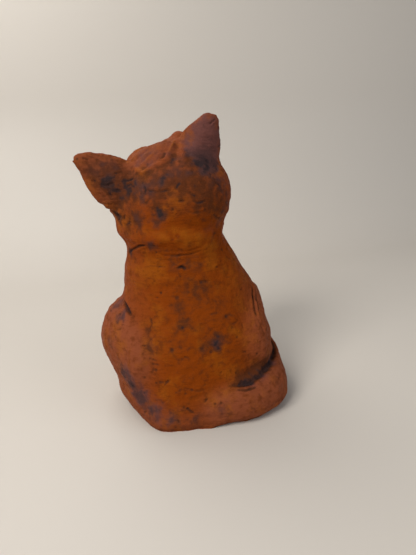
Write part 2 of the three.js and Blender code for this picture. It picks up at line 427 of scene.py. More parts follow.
# width, depth and lip in mm; a cut with a facing stays on that side of a thin wall
def groove(path, width, depth, lip=0.0, dark=0.0, facing=None):
    line = [hit for hit in path if hit]
    if len(line) < 2:
        return
    chosen, gap, share = alongPath(line, width * cut["reach"])
    fade = np.clip(np.minimum(share, 1 - share) * cut["endFade"] + cut["endLeft"], 0, 1)
    if facing:
        fade *= np.clip(restNormal[chosen] @ np.array(facing) * cut["facingGain"], 0, 1)
    rough = np.clip(1 + cut["raggedGain"] * ragged[chosen], cut["least"], cut["most"])
    bank = lip * np.exp(-((gap - cut["lipPlace"] * width) / width) ** 2)
    push[chosen] += fade * rough * (bank - depth * np.exp(-(gap / width) ** 2))
    stain[chosen] += fade * rough * dark * np.exp(-(gap / (width * cut["stainSpread"])) ** 2)


def dent(place, radius, depth, dark=0.0):
    if place is None:
        return
    chosen, gap, _ = alongPath([place], radius * cut["dentReach"])
    push[chosen] -= depth * np.exp(-(gap / radius) ** 2)
    stain[chosen] += dark * np.exp(-(gap / (radius * cut["dentStainSpread"])) ** 2)


# hand modelling: broad lumps, thumb facets and tool drag; sizes and heights in mm
handMarks = {
    "lumpSize": 21, "lumpHeight": 0.75,
    "thumbSize": 9, "thumbHeight": 0.42, "thumbFold": 1.6, "thumbSink": 0.35,
    "scrapeSize": 4.2, "scrapeStretch": (1.6, 1.6, 1), "scrapeHeight": 0.27,
    "dragSize": 2.2, "dragStretch": (5, 5, 1), "dragHeight": 0.15,
}


def handModel():
    marks = handMarks
    push[:] += marks["lumpHeight"] * noiseField(marks["lumpSize"], shift=3.1)
    facets = np.abs(noiseField(marks["thumbSize"], shift=11.7))
    push[:] += marks["thumbHeight"] * (facets * marks["thumbFold"] - marks["thumbSink"])
    push[:] += marks["scrapeHeight"] * noiseField(marks["scrapeSize"], marks["scrapeStretch"], shift=5.9)
    push[:] += marks["dragHeight"] * noiseField(marks["dragSize"], marks["dragStretch"], shift=23.0)


handModel()
print("hand marks pressed in")

# the head's own frame, for the face and the ears: mm and degrees
headPose = {"centre": (7.99, 0.38, 166.0), "lift": 32, "roll": 21, "turn": -22}
headTurn = (Matrix.Rotation(math.radians(headPose["roll"]), 3, "Y")
            @ Matrix.Rotation(math.radians(headPose["turn"]), 3, "Z")
            @ Matrix.Rotation(math.radians(-headPose["lift"]), 3, "X"))

# creases seen in the photograph, as pixel paths: width, depth, lip in mm, darkness
creases = [
    ([(272.5, 343), (274.5, 352), (270, 364), (261, 374), (250, 382), (240, 385), (230, 385)],
     2.1, 2.4, 0.3, 0.6),
    # these two wide soft bands above the tail's crease are painted shade
    ([(271, 352), (266, 362), (257, 372), (246, 379), (234, 383)], 4.5, 0.6, 0.0, 0.3),
    ([(266, 356), (258, 367), (246, 375), (234, 380)], 6.0, 0.0, 0.0, 0.18),
    ([(236, 390), (246, 390.5), (257, 387)], 0.9, 0.9, 0.3, 0.75),
    ([(124, 301.5), (126.5, 307), (129.8, 314)], 1.4, 2.8, 0.4, 1.3),
    # the soft dark wedge running on from the haunch's gap is painted shade
    ([(128, 311), (132, 317), (137, 322)], 2.4, 0.8, 0.2, 0.12),
    # the dark of this step on the right haunch is painted shade
    ([(251.5, 285), (252.6, 296), (254.5, 307), (257, 318)], 1.1, 1.2, 0.3, 0.4),
    ([(256, 292), (257.2, 301), (259, 311)], 0.8, 0.7, 0.2, 0.3),
    ([(254, 288), (255.4, 296), (256, 302)], 0.8, 0.5, 0.1, 0.2),
    ([(258, 318), (264, 332), (271, 343)], 1.0, 0.4, 0.1, 0.15),
    ([(129, 254), (132, 250), (140, 246), (146, 245)], 0.9, 1.2, 0.4, 0.7),
    ([(116.5, 214), (118.5, 216.5), (120, 219.5)], 2.3, 2.0, 0.2, 1.4),
    ([(126, 163), (128, 172), (130, 185), (127, 198)], 3.5, 1.0, 0.0, 0.15),
    ([(134.5, 167), (138, 170), (141.6, 172.5), (144, 171.5), (148, 168)], 1.2, -0.9, 0.0, -0.18),
    ([(150, 168), (155, 164.5), (160, 162.5), (164, 160)], 1.4, -0.7, 0.0, -0.08),
    ([(164, 159.5), (166.5, 156.5), (168.5, 152), (171.5, 146.5), (175, 141)], 1.3, -0.8, 0.0, -0.15),
    ([(139, 167), (143, 168), (148, 164), (154, 160.5), (160, 156)], 1.8, 0.9, 0.0, 0.12),
    ([(136, 174), (142, 178), (149, 173), (158, 168), (167, 163), (172, 155)], 2.2, 0.7, 0.0, 0.24),
    ([(160, 159), (163, 156), (166, 152)], 2.0, 0.8, 0.0, 0.25),
    ([(171, 164), (172.5, 159), (174, 152)], 2.4, 0.5, 0.0, 0.15),
    ([(133, 158), (137, 154), (141, 149.5)], 0.9, 0.35, 0.2, 0.06),
    ([(136, 161), (142, 156), (148, 150.5)], 0.9, 0.4, 0.2, 0.07),
    ([(140, 164), (147, 158), (153, 153)], 0.9, 0.4, 0.2, 0.07),
    ([(147, 163), (153, 158), (159, 152)], 0.9, 0.35, 0.2, 0.06),
    ([(123, 178), (126, 181), (130, 179.5), (133, 176)], 0.8, 0.5, 0.2, 0.35),
    ([(126, 186), (130, 184), (134, 187)], 0.8, 0.5, 0.2, 0.35),
    ([(101, 184.5), (106, 186), (112, 184)], 0.8, 0.5, 0.2, 0.4),
    ([(192.5, 200), (197, 203), (203, 202), (206, 199)], 0.8, 0.4, 0.2, 0.25),
    ([(186, 211), (193, 213), (201, 212), (207, 210)], 0.8, 0.4, 0.2, 0.22),
    ([(185, 131), (178, 144), (175, 155), (173, 164)], 1.9, 0.5, 0.1, 0.16),
    ([(186, 148), (193, 162), (206, 167), (220, 165)], 3.0, 1.0, 0.0, 0.2),
    ([(178, 268), (182, 266.8), (186, 269.5)], 0.9, 1.3, 0.4, 0.9),
    ([(163, 255), (176, 256), (190, 254), (203, 250)], 0.9, 0.5, 0.2, 0.12),
    ([(174, 252), (188, 251), (200, 247)], 0.8, 0.4, 0.2, 0.08),
    ([(146, 190.5), (158, 192), (170, 190)], 0.8, 0.6, 0.2, 0.35),
    ([(145, 186), (145.5, 191), (144.5, 195)], 0.8, 0.6, 0.2, 0.4),
    ([(158, 382), (164, 382.5), (170, 381)], 0.8, 0.5, 0.1, 0.35),
    ([(186, 407.5), (190, 411), (194, 413)], 0.9, 0.9, 0.3, 0.6),
    ([(204.5, 403), (206, 400.5), (208, 398.5)], 0.9, 0.8, 0.3, 0.55),
    ([(224.5, 316), (230, 314.5), (235, 317), (238, 320.5), (234, 323.5), (229, 324)], 0.9, 0.4, 0.2, 0.12),
    ([(147, 323), (147, 335), (149, 346), (152, 356)], 2.4, 0.5, 0.0, 0.1),
    ([(150, 318), (152, 324), (149, 330)], 0.9, 0.6, 0.2, 0.12),
    ([(152, 362), (154, 368), (151.5, 375)], 0.9, 0.5, 0.1, 0.18),
    ([(184, 388), (196, 391.5), (209, 389)], 0.9, 0.4, 0.2, 0.1),
    ([(128, 262), (140, 260), (152, 262)], 2.5, 0.5, 0.0, 0.05),
]
# pixel, radius and depth in mm, darkness
gouges = [
    (161, 293, 1.0, 0.9, 0.8), (177, 298, 1.1, 0.5, 0.45), (201, 282.5, 0.9, 0.7, 0.8),
    (202, 349, 1.3, 0.6, 0.5), (182.6, 328, 1.1, 0.6, 0.5), (172, 350, 1.2, 0.6, 0.5),
    (211, 352, 1.0, 0.6, 0.5), (257, 354, 0.9, 0.6, 0.6), (237, 337, 0.9, 0.4, 0.4),
    (222.5, 249.5, 1.0, 0.7, 0.7), (221, 261, 0.9, 0.4, 0.3), (156, 370, 1.0, 0.7, 0.7),
    (226, 316.5, 1.1, 0.7, 0.6), (189, 268, 0.9, 0.3, 0.3), (177, 236, 1.0, 0.5, 0.4),
    (113, 184, 1.2, 0.8, 0.4), (109, 186, 1.1, 0.7, 0.4), (215, 404, 0.9, 0.5, 0.4),
    (221, 403, 0.9, 0.5, 0.4), (214.6, 233, 0.9, 0.4, 0.4), (110.5, 195, 1.2, 0.6, 0.5),
    (94.5, 181, 1.0, 0.5, 0.4), (77, 159, 0.9, 0.4, 0.5), (97, 160, 1.2, 0.4, 0.3),
    (205, 385, 0.9, 0.3, 0.3), (192, 390, 0.9, 0.4, 0.4), (184, 331, 0.9, 0.4, 0.3),
    (164, 156.5, 1.1, 0.5, 0.3),
]
# pixel, radius and height in mm: pads of clay that stand proud
swells = [
    (254, 288, 6, 0.8), (118, 209, 5, 0.6), (143, 153, 7, 0.8), (155, 152, 6, 0.7), (166, 146, 6, 0.6),
    (178, 140, 6, 0.8), (122, 226, 7, 0.5), (148, 238, 10, 1.0), (163, 240, 10, 1.2), (178, 241, 10, 1.2),
    (193, 241, 10, 1.2), (207, 241, 9, 1.0), (228, 192, 9, 0.6), (106, 318, 8, 0.6), (233, 345, 14, 0.5),
    (180, 345, 16, 0.4),
]


def carveBack():
    for pixels, *sizes in creases:
        groove(pixelPath(pixels), *sizes)
    for *pixel, radius, depth, dark in gouges:
        dent(pixelHit(pixel), radius, depth, dark)
    for *pixel, radius, height in swells:
        dent(pixelHit(pixel), radius, -height)


# the tail's crease runs on along its upper edge: y and z in mm, seen from the cat's right
tailCrease = {
    "path": [(40, 33.5), (30, 34), (20, 35.5), (12, 37), (4, 38.4),
             (-5, 38.2), (-14, 38.8), (-22, 38.0), (-28, 36.4)],
    "width": 1.5, "depth": 1.7, "lip": 0.3, "dark": 0.5,
    "steps": 10,  # between two points
    "castFrom": -200,  # x in mm
}


def carveTail():
    hits = []
    for start, end in zip(tailCrease["path"], tailCrease["path"][1:]):
        for step in range(tailCrease["steps"]):
            deep, tall = between(start, end, step / tailCrease["steps"])
            aside = Vector((tailCrease["castFrom"], deep, tall))
            hits.append(skinTree.ray_cast(aside, Vector((1, 0, 0)))[0])
    groove(hits, tailCrease["width"], tailCrease["depth"], tailCrease["lip"], tailCrease["dark"])


# stray tool nicks, mostly level, and pits; lengths, widths and depths in mm
nicks = {
    "seed": 7, "count": 190, "steps": 6,
    "length": (2.0, 7.0), "width": 0.75, "depth": (0.25, 0.7), "lip": 0.15, "dark": (0.1, 0.42),
    "tilt": 0.5,  # radians
    "pits": 150, "pitRadius": (0.6, 1.1), "pitDepth": (0.25, 0.6), "pitDark": (0.1, 0.5),
    "headFloor": 110, "faceClear": -18,  # above the one and before the other the face stays clean
}
nearlyUp = Vector((0.01, 0, 1))  # so that a level way is found on a flat top too


def nickSkin():
    draw = np.random.default_rng(nicks["seed"])
    home = (restPlace - np.array(headPose["centre"])) @ np.array(headTurn)
    clear = np.nonzero((home[:, 1] > nicks["faceClear"]) | (restPlace[:, 2] < nicks["headFloor"]))[0]
    steps = nicks["steps"]
    for start in draw.choice(clear, nicks["count"]):
        normal = Vector(restNormal[start])
        level = normal.cross(nearlyUp).normalized()
        tilt = draw.normal(0, nicks["tilt"])
        way = level * math.cos(tilt) + normal.cross(level) * math.sin(tilt)
        along = way * draw.uniform(*nicks["length"])
        middle = Vector(restPlace[start])
        places = [middle + along * (step / steps - 0.5) for step in range(steps + 1)]
        line = [skinTree.find_nearest(place)[0] for place in places]
        depth = draw.uniform(*nicks["depth"])
        groove(line, nicks["width"], depth, nicks["lip"], draw.uniform(*nicks["dark"]))
    for start in draw.choice(clear, nicks["pits"]):
        radius = draw.uniform(*nicks["pitRadius"])
        depth = draw.uniform(*nicks["pitDepth"])
        dent(Vector(restPlace[start]), radius, depth, draw.uniform(*nicks["pitDark"]))


carveBack()
carveTail()
nickSkin()
print("creases and gouges carved,", len(creases) + len(gouges))

# a plain cat's face, since the photograph shows only the back of the head: places across and up in mm
plainFace = {
    # then width, depth, lip and darkness
    "cuts": {
        "lidUpper": ([(8.5, 3), (12, 10), (18, 13.5), (25, 12.5), (31, 8)], 1.1, 1.5, 0.5, 0.8),
        "lidLower": ([(8.5, 3), (14, 0.5), (20, 0.5), (26, 3), (31, 8)], 1.0, 1.1, 0.4, 0.7),
        "mouth": ([(0.0, -8), (0.0, -17.5), (4, -20), (10, -20.5), (17, -18), (23, -13)], 1.1, 1.6, 0.3, 0.9),
        "noseEdge": ([(9, 1), (6, -5), (1, -8.5)], 0.9, 0.9, 0.2, 0.6),
        "browCrease": ([(4.5, 15), (5.5, 21), (4.5, 27)], 1.2, 0.9, 0.3, 0.5),
    },
    # then radius, depth and darkness
    "dents": {
        "pupil": ([(19.5, 7)], 3.2, 1.1, 0.7),
        "nostril": ([(3.6, -3.5)], 1.6, 1.5, 0.9),
        "whiskers": ([(10, -7), (15, -8), (20, -9), (9, -11.5), (14, -12.5), (19, -13), (11, -16), (16, -16)],
                     0.9, 0.7, 0.6),
    },
    "step": 0.8,
    "castFrom": -120,
}


# a point on the face, seen straight from the front
def faceHit(across, up):
    start = headTurn @ Vector((across, plainFace["castFrom"], up)) + Vector(headPose["centre"])
    return skinTree.ray_cast(start, headTurn @ Vector((0, 1, 0)))[0]


def facePath(points):
    hits = []
    for start, end in zip(points, points[1:]):
        steps = max(2, int(math.dist(start, end) / plainFace["step"]))
        hits += [faceHit(*between(start, end, step / steps)) for step in range(steps + 1)]
    return hits


def modelFace():
    for side in (1, -1):
        for points, *sizes in plainFace["cuts"].values():
            groove(facePath([(side * across, up) for across, up in points]), *sizes)
        for points, *sizes in plainFace["dents"].values():
            for across, up in points:
                dent(faceHit(side * across, up), *sizes)


modelFace()

# ear cups, pressed in from the front: base and tip in mm, the way the back of the ear faces, width
earCups = [
    {"base": (23.2, 7.4, 27.5), "tip": (44.4, -3.7, 63.1), "back": (-0.4, 0.75, 0.5), "width": 8},
    {"base": (-29.2, -7.2, 17.8), "tip": (-52.5, -17.7, 41.2), "back": (0, 0.88, 0.45), "width": 7},
]
# depth in mm, and the stretch of the ear that is pressed, as shares of the way to its tip
earPress = {"depth": 2.2, "dark": 0.45, "start": 0.1, "run": 0.72, "steps": 19, "castFrom": 60}


def pressEars():
    for ear in earCups:
        base, tip = Vector(ear["base"]), Vector(ear["tip"])
        back = Vector(ear["back"]).normalized()
        hits = []
        for step in range(earPress["steps"] + 1):
            along = base.lerp(tip, earPress["start"] + earPress["run"] * step / earPress["steps"])
            before = headTurn @ (along - back * earPress["castFrom"]) + Vector(headPose["centre"])
            hits.append(skinTree.ray_cast(before, headTurn @ back)[0])
        groove(hits, ear["width"], earPress["depth"], 0.0, earPress["dark"], headTurn @ -back)


pressEars()

# toes: three short cuts over the front of each foot; x, y and height of its tip in mm
toes = {
    "feet": [(25.0, -74.8, 17), (-15.0, -74.8, 17), (49.0, -61.8, 15), (-38.6, -55.8, 15)],
    "spread": 7.0,
    "cuts": (-0.95, 0.0, 0.95),  # in spreads, as for the pads
    "length": 11, "floor": 2, "steps": 15,
    "width": 1.3, "depth": 2.0, "lip": 0.2, "dark": 0.45,
    "pads": (-1.45, -0.48, 0.48, 1.45),  # each toe swells between its cuts
    "padShares": (0.25, 0.5),
    "padRadius": 3.4, "padHeight": 0.9,
    "castAlong": (0, 0.8, -0.6), "castFrom": 40,
}


def footHit(foot, offset, share):
    across, tip, tall = foot
    down = Vector(toes["castAlong"])
    deep = tip + toes["length"] * share
    aim = Vector((across + offset * toes["spread"], deep, tall * share + toes["floor"]))
    return skinTree.ray_cast(aim - down * toes["castFrom"], down)[0]


def cutToes():
    for foot in toes["feet"]:
        for offset in toes["cuts"]:
            hits = [footHit(foot, offset, step / toes["steps"]) for step in range(toes["steps"] + 1)]
            groove(hits, toes["width"], toes["depth"], toes["lip"], toes["dark"])
        for offset in toes["pads"]:
            for share in toes["padShares"]:
                dent(footHit(foot, offset, share), toes["padRadius"], -toes["padHeight"])


cutToes()
print("face, ears and toes modelled")

# neighbours of each skin point, as two flat index lists
edgeEnds = np.empty(len(skin.data.edges) * 2, dtype=np.int64)
skin.data.edges.foreach_get("vertices", edgeEnds)
edgeEnds = edgeEnds.reshape(-1, 2)
valence = np.bincount(edgeEnds.ravel(), minlength=pointCount)


# evens values out between neighbours
def spreadOut(values, rounds):
    for _ in range(rounds):
        total = np.bincount(edgeEnds[:, 0], values[edgeEnds[:, 1]], pointCount)
        total += np.bincount(edgeEnds[:, 1], values[edgeEnds[:, 0]], pointCount)
        values = 0.5 * values + 0.5 * total / valence
    return values


# soft seams where limbs were pressed on, on the sides the photograph does not show
seams = {
    "dark": {"foreleg": 0.12, "haunch": 0.10},
    "depth": 0.7,  # mm
    "spread": 18,  # rounds
    "floor": 4.0,  # mm above the table
    "raggedRange": (0.3, 1.6),
    "seenTilt": 0.15, "seenGain": 4,  # where the photograph's side ends, and how sharply
}
pointOwner = np.array([ownerOf(Vector(p) * mm) for p in restPlace])
unseen = np.clip((restNormal @ np.array(camBack) - seams["seenTilt"]) * -seams["seenGain"], 0, 1)


def pressSeams():
    raised = np.clip(restPlace[:, 2] / seams["floor"] - 1, 0, 1)
    for index, name in enumerate(nodeNames):
        dark = nodeValue(seams["dark"], name)
        if dark:
            share = spreadOut((pointOwner == index).astype(float), seams["spread"])
            seam = (4 * share * (1 - share) * unseen * raised) ** 2  # one where the two lumps meet
            push[:] -= seams["depth"] * seam
            stain[:] += dark * seam * np.clip(1 + ragged, *seams["raggedRange"])


pressSeams()
print("seams pressed")

# dark wash: rubbed off the high places, left in the hollows and in blotches, among which are painted shade
# and painted light; sizes in mm
wash = {
    "blotchRagged": 0.35, "blotchFloor": 0.22, "blotchEdge": 0.32, "blotchGain": 0.45, "blotchSeen": 0.25,
    "smokeSize": 26, "smokeRagged": 0.4, "smokeSlope": 1.6, "smokeFloor": 0.1, "smokeGain": 0.45,
    "soakRounds": 3, "smokeRounds": 6, "hollowRounds": 30,
    "hollowGain": 0.7, "ridgeRub": 0.3, "hollowLimit": 1.2,  # mm
    "stainRange": (-0.6, 1.3),
}
# pixel, radius in mm, strength
washSpots = [
    (213, 148, 6, 0.2), (208, 172, 4, 0.2), (109, 184, 4, 0.3), (103, 185, 3, 0.4), (124, 180, 3, 0.4),
    (131, 185, 3, 0.4), (95, 181, 3, 0.3), (111, 195, 3, 0.6), (118, 203, 4, 0.35), (135, 199, 4, 0.45),
    (143, 197, 3, 0.5), (163, 176, 4, 0.4), (174, 157, 4, 0.25), (118, 216.5, 4, 0.9), (138, 221, 5, 0.5),
    (137, 214, 4, 0.35), (160, 217, 4, 0.6), (158, 222, 4, 0.5), (158, 208, 3, 0.5), (152, 244.5, 4, 0.75),
    (166, 248, 4, 0.45), (131, 252, 3, 0.6), (172.7, 262, 4, 0.43), (174, 271, 4, 0.27),
    (188, 263, 4, 0.27), (196, 265, 4, 0.27), (187, 287, 5, 0.27), (202, 289, 5, 0.23), (178, 307, 5, 0.31),
    (186, 325, 5, 0.31), (182, 329, 4, 0.27), (217, 340, 3, 0.7), (219, 346, 3, 0.7), (216, 335, 3, 0.39),
    (203, 348, 4, 0.47), (210, 344, 4, 0.23), (219, 353, 3, 0.31), (173, 350, 4, 0.31), (121, 303, 3, 0.16),
    (123, 316, 4, 0.12), (117, 322, 3, 0.2), (109.5, 342, 4, 0.23), (122, 371, 5, 0.35),
    (128, 380, 5, 0.39), (133, 387, 4, 0.27), (139, 395, 5, 0.43), (146, 402, 4, 0.35), (152, 411, 5, 0.23),
    (168, 420, 6, 0.2), (195, 420, 6, 0.23), (227, 409, 5, 0.23), (217, 410, 4, 0.2), (150, 322, 4, 0.23),
    (150, 352, 4, 0.23), (150, 338, 4, 0.2), (158, 364, 4, 0.2), (178, 376, 4, 0.16), (199, 372, 4, 0.16),
    # 254 297, 252.5 289 and 258 308 darken the step on the right haunch: painted shade
    (266, 365, 4, 0.2), (254, 297, 3, 0.5), (252.5, 289, 3, 0.4), (258, 308, 3, 0.35), (218, 262, 4, 0.16),
    (150, 329, 3, 0.2), (161, 381, 4, 0.2), (209, 205, 4, 0.2), (197, 204, 4, 0.2), (206, 197, 4, 0.2),
]
# broad brown smudges, worn thin, among them painted shade on the head, down the right flank and above the
# tail's crease; below nought the wash is rubbed off on the forehead, and the other ones below nought are
# painted light on the neck, the left haunch and the right flank
smudgesShadeAndLight = [
    # painted shade with brown stain: the head darker at the back and on its right side
    (216, 186, 13, 0.34), (224, 201, 13, 0.36), (219, 217, 11, 0.26), (197, 178, 12, 0.28),
    (165, 179, 8, 0.5), (150, 188, 9, 0.46), (140, 181, 8, 0.44), (131, 190, 9, 0.46), (185, 169, 8, 0.3),
    (108, 181, 10, 0.36), (118, 187, 9, 0.32), (113, 196, 8, 0.36), (124, 200, 8, 0.42),
    (137, 220, 7, 0.46), (159, 217, 6, 0.5), (118, 216, 4, 0.4), (129, 222, 8, 0.42), (126, 232, 7, 0.2),
    (145, 226, 7, 0.16), (173, 263, 6, 0.4), (191, 264, 7, 0.24), (197, 286, 10, 0.34), (180, 305, 7, 0.34),
    (186, 326, 8, 0.33), (205, 346, 8, 0.33), (217, 342, 5, 0.47), (150, 336, 8, 0.22), (172, 352, 7, 0.21),
    (122, 370, 8, 0.43), (130, 384, 9, 0.38), (140, 397, 8, 0.41), (153, 412, 9, 0.34), (176, 421, 9, 0.26),
    # painted shade: 266 359, 258 369 and 247 379 above the tail's crease, and the broad ones of 16 to 22 mm
    # on the right flank
    (198, 421, 9, 0.26), (118, 304, 6, 0.41), (121, 316, 7, 0.38), (110, 342, 7, 0.21), (266, 359, 6, 0.3),
    (258, 369, 7, 0.33), (247, 379, 7, 0.33), (152, 246, 6, 0.3), (132, 253, 5, 0.32), (205, 312, 22, 0.12),
    (190, 370, 16, 0.09), (222, 295, 20, 0.14), (228, 325, 18, 0.12), (226, 408, 8, 0.17),
    # painted light: the neck made paler
    (150, 234, 10, -0.26), (175, 231, 11, -0.3), (196, 236, 10, -0.26), (211, 243, 9, -0.2),
    (146, 157, 9, -0.26), (176, 152, 5, -0.12), (183, 164, 4, -0.15), (98, 173, 10, 0.4),
    (89, 164, 9, 0.18), (108, 168, 9, 0.22), (114, 160, 8, 0.14), (119, 172, 8, 0.28), (128, 180, 7, 0.34),
    # the first three are painted light on the left haunch
    (140, 275, 13, -0.12), (152, 300, 13, -0.1), (133, 330, 11, -0.08), (149, 321, 6, 0.19),
    # the broad ones on the head, from 180 186 to 205 214, are painted shade with brown stain
    (151, 352, 6, 0.19), (180, 186, 17, 0.33), (160, 197, 13, 0.16), (190, 198, 15, 0.24),
    # from 230 274 on, the ones below nought are painted light on the right flank
    (205, 190, 12, 0.16), (205, 214, 12, 0.12), (178, 160, 8, 0.14), (230, 274, 13, -0.26),
    (213, 258, 10, -0.2), (119, 326, 13, 0.07), (238, 296, 11, -0.22), (246, 322, 10, -0.16),
    (246, 398, 10, -0.1), (262, 392, 9, -0.1),
]
# soot in the crook of the right ear, and over the tail a dark band along its crease that is partly stain and
# partly painted shade, even and soft
softSootAndShade = [
    # along the tail's crease: partly painted shade in the valley
    (271, 354, 4, 0.3), (267, 363, 5, 0.34), (259, 372, 5, 0.4), (250, 378, 5, 0.38), (241, 382, 5, 0.3),
    (203, 160, 8, 0.78), (194, 160, 7, 0.42), (210, 160, 7, 0.58), (200, 152, 8, 0.22), (188, 153, 6, 0.16),
]
# smoke from the kiln: broad soft mauve patches
smokeSpots = [
    (142, 157, 8, 0.34), (152, 155, 8, 0.42), (165, 146, 7, 0.36), (147, 163, 7, 0.18), (95, 166, 10, 0.2),
    (210, 127, 11, 0.7), (203, 140, 10, 0.75), (211, 150, 12, 0.95), (194, 154, 8, 0.55),
    (205, 163, 9, 1.0), (184, 142, 6, 0.45), (175, 158, 5, 0.4), (178, 172, 6, 0.35), (190, 172, 6, 0.35),
    (108, 181, 10, 0.18), (96, 174, 7, 0.15), (121, 183, 9, 0.15), (112, 164, 8, 0.25), (120, 200, 8, 0.18),
    (130, 190, 8, 0.22), (164, 177, 7, 0.42), (153, 187, 6, 0.42), (144, 196, 6, 0.5), (137, 182, 7, 0.35),
    (226, 183, 10, 0.34), (227, 202, 11, 0.36), (221, 218, 8, 0.36), (210, 228, 9, 0.24),
    (212, 186, 9, 0.28), (137, 219, 7, 0.55), (159, 218, 6, 0.6), (152, 245, 5, 0.5), (131, 252, 4, 0.5),
    (173, 264, 6, 0.35), (192, 264, 6, 0.25), (118, 303, 7, 0.8), (121, 316, 7, 0.75), (124, 372, 9, 0.75),
    (130, 384, 9, 0.75), (140, 397, 9, 0.8), (153, 411, 9, 0.6), (168, 421, 9, 0.5), (194, 421, 9, 0.35),
    (224, 411, 8, 0.35), (262, 375, 5, 0.8), (271, 360, 5, 0.7), (250, 383, 5, 0.75), (217, 343, 5, 0.75),
    (202, 350, 4, 0.3), (110, 341, 5, 0.35), (150, 345, 6, 0.25),
]
# redder clay and painted sheen: its share on each part, and strength, start and reach in mm towards the
# edges; the reddening towards the sides and much of the left haunch's share are painted sheen
redness = {
    "parts": {
        # the left haunch's share is partly painted sheen
        "tail": 1.0, "ear": 1.0, "haunch_left": 0.85, "haunch_right": 0.45, "brow": 0.6,
        "forehead_fold": 0.6, "hind_foot": 0.8, "forepaw": 0.7,
    },
    "otherParts": 0.05,
    "middle": 2,  # x in mm
    # painted sheen: redder away from the middle of the back, towards both sides
    "sides": (0.6, 30, 25),
    "foot": (0.5, -26, 22),  # downwards
    "head": (0.65, 158, 24),
    "rounds": 160,
}
# how a blotch runs out: distances in radii
blotchShape = {"reach": 2.6, "ragged": 0.75, "falloff": 1.5, "mottleGain": 1.4, "mottleLess": 0.8}


def blotch(layer, spots, gain, soften, broken):
    for *pixel, radius, strength in spots:
        hit = pixelHit(pixel)
        if hit is None:
            continue
        chosen, gap, _ = alongPath([hit], radius * blotchShape["reach"])
        edge = gap / radius - blotchShape["ragged"] * broken * ragged[chosen]
        cover = np.clip((1.0 + soften - edge) / (2 * soften), 0, 1) ** blotchShape["falloff"]
        patchy = blotchShape["mottleGain"] * mottle[chosen] - blotchShape["mottleLess"]
        layer[chosen] += strength * gain * cover * (1 + broken * patchy)


def layWash():
    soaked = np.zeros(pointCount)
    blotch(soaked, washSpots, gain=0.85, soften=0.85, broken=0.8)
    stain[:] += spreadOut(soaked, wash["soakRounds"])
    blotch(stain, smudgesShadeAndLight, gain=1.0, soften=0.95, broken=0.32)
    blotch(stain, softSootAndShade, gain=1.0, soften=0.95, broken=0.08)
    blotch(smoke, smokeSpots, gain=1.0, soften=0.9, broken=0.5)
    broad = layered(uneven["blotches"]) + wash["blotchRagged"] * ragged
    broad = np.clip((broad - wash["blotchFloor"]) / wash["blotchEdge"], 0, 1)
    stain[:] += wash["blotchGain"] * broad * (wash["blotchSeen"] + (1 - wash["blotchSeen"]) * unseen)
    drift = noiseField(wash["smokeSize"], shift=91.0) + wash["smokeRagged"] * ragged
    drift = np.clip(drift * wash["smokeSlope"] - wash["smokeFloor"], 0, 1)
    smoke[:] += wash["smokeGain"] * drift * unseen


def rising(values, strength, start, reach):
    return strength * np.clip((values - start) / reach, 0, 1)


def redden():
    for index, name in enumerate(nodeNames):
        blush[pointOwner == index] = nodeValue(redness["parts"], name, redness["otherParts"])
    # painted sheen, set by place: redder towards both sides
    blush[:] += rising(np.abs(restPlace[:, 0] - redness["middle"]), *redness["sides"])
    blush[:] += rising(-restPlace[:, 2], *redness["foot"])
    blush[:] += rising(restPlace[:, 2], *redness["head"])


layWash()
redden()
print("dark wash laid,", sum(map(len, (washSpots, smudgesShadeAndLight, softSootAndShade, smokeSpots))), "blotches")

blush = spreadOut(np.clip(blush, 0, 1), redness["rounds"])
smoke = np.clip(spreadOut(smoke, wash["smokeRounds"]), 0, 1)
hollow = np.clip(spreadOut(push, wash["hollowRounds"]) - push, -wash["hollowLimit"], wash["hollowLimit"])
stain += wash["hollowGain"] * np.clip(hollow, 0, 1)
stain -= wash["ridgeRub"] * np.clip(-hollow, 0, 1)
stain = np.clip(stain, *wash["stainRange"])

# the marks are shallower at the foot: height in mm where they are full, and their share on the table
footMarks = {"full": 4, "share": 0.35}
height = np.clip(restPlace[:, 2] / footMarks["full"], 0, 1)
place = restPlace + restNormal * (push * (footMarks["share"] + (1 - footMarks["share"]) * height))[:, None]
place[:, 2] = np.maximum(place[:, 2], 0.0)
skin.data.vertices.foreach_set("co", (place * mm).ravel())
skin.data.update()


def keepAttribute(name, kind, values, slot):
    layer = skin.data.attributes.new(name, kind, "POINT")
    layer.data.foreach_set(slot, np.ascontiguousarray(values, dtype=np.float32).ravel())


keepAttribute("stain", "FLOAT", stain, "value")
keepAttribute("smoke", "FLOAT", smoke, "value")
keepAttribute("blush", "FLOAT", blush, "value")
keepAttribute("restPlace", "FLOAT_VECTOR", restPlace * mm, "vector")
keepAttribute("restNormal", "FLOAT_VECTOR", restNormal, "vector")
print("skin sculpted")

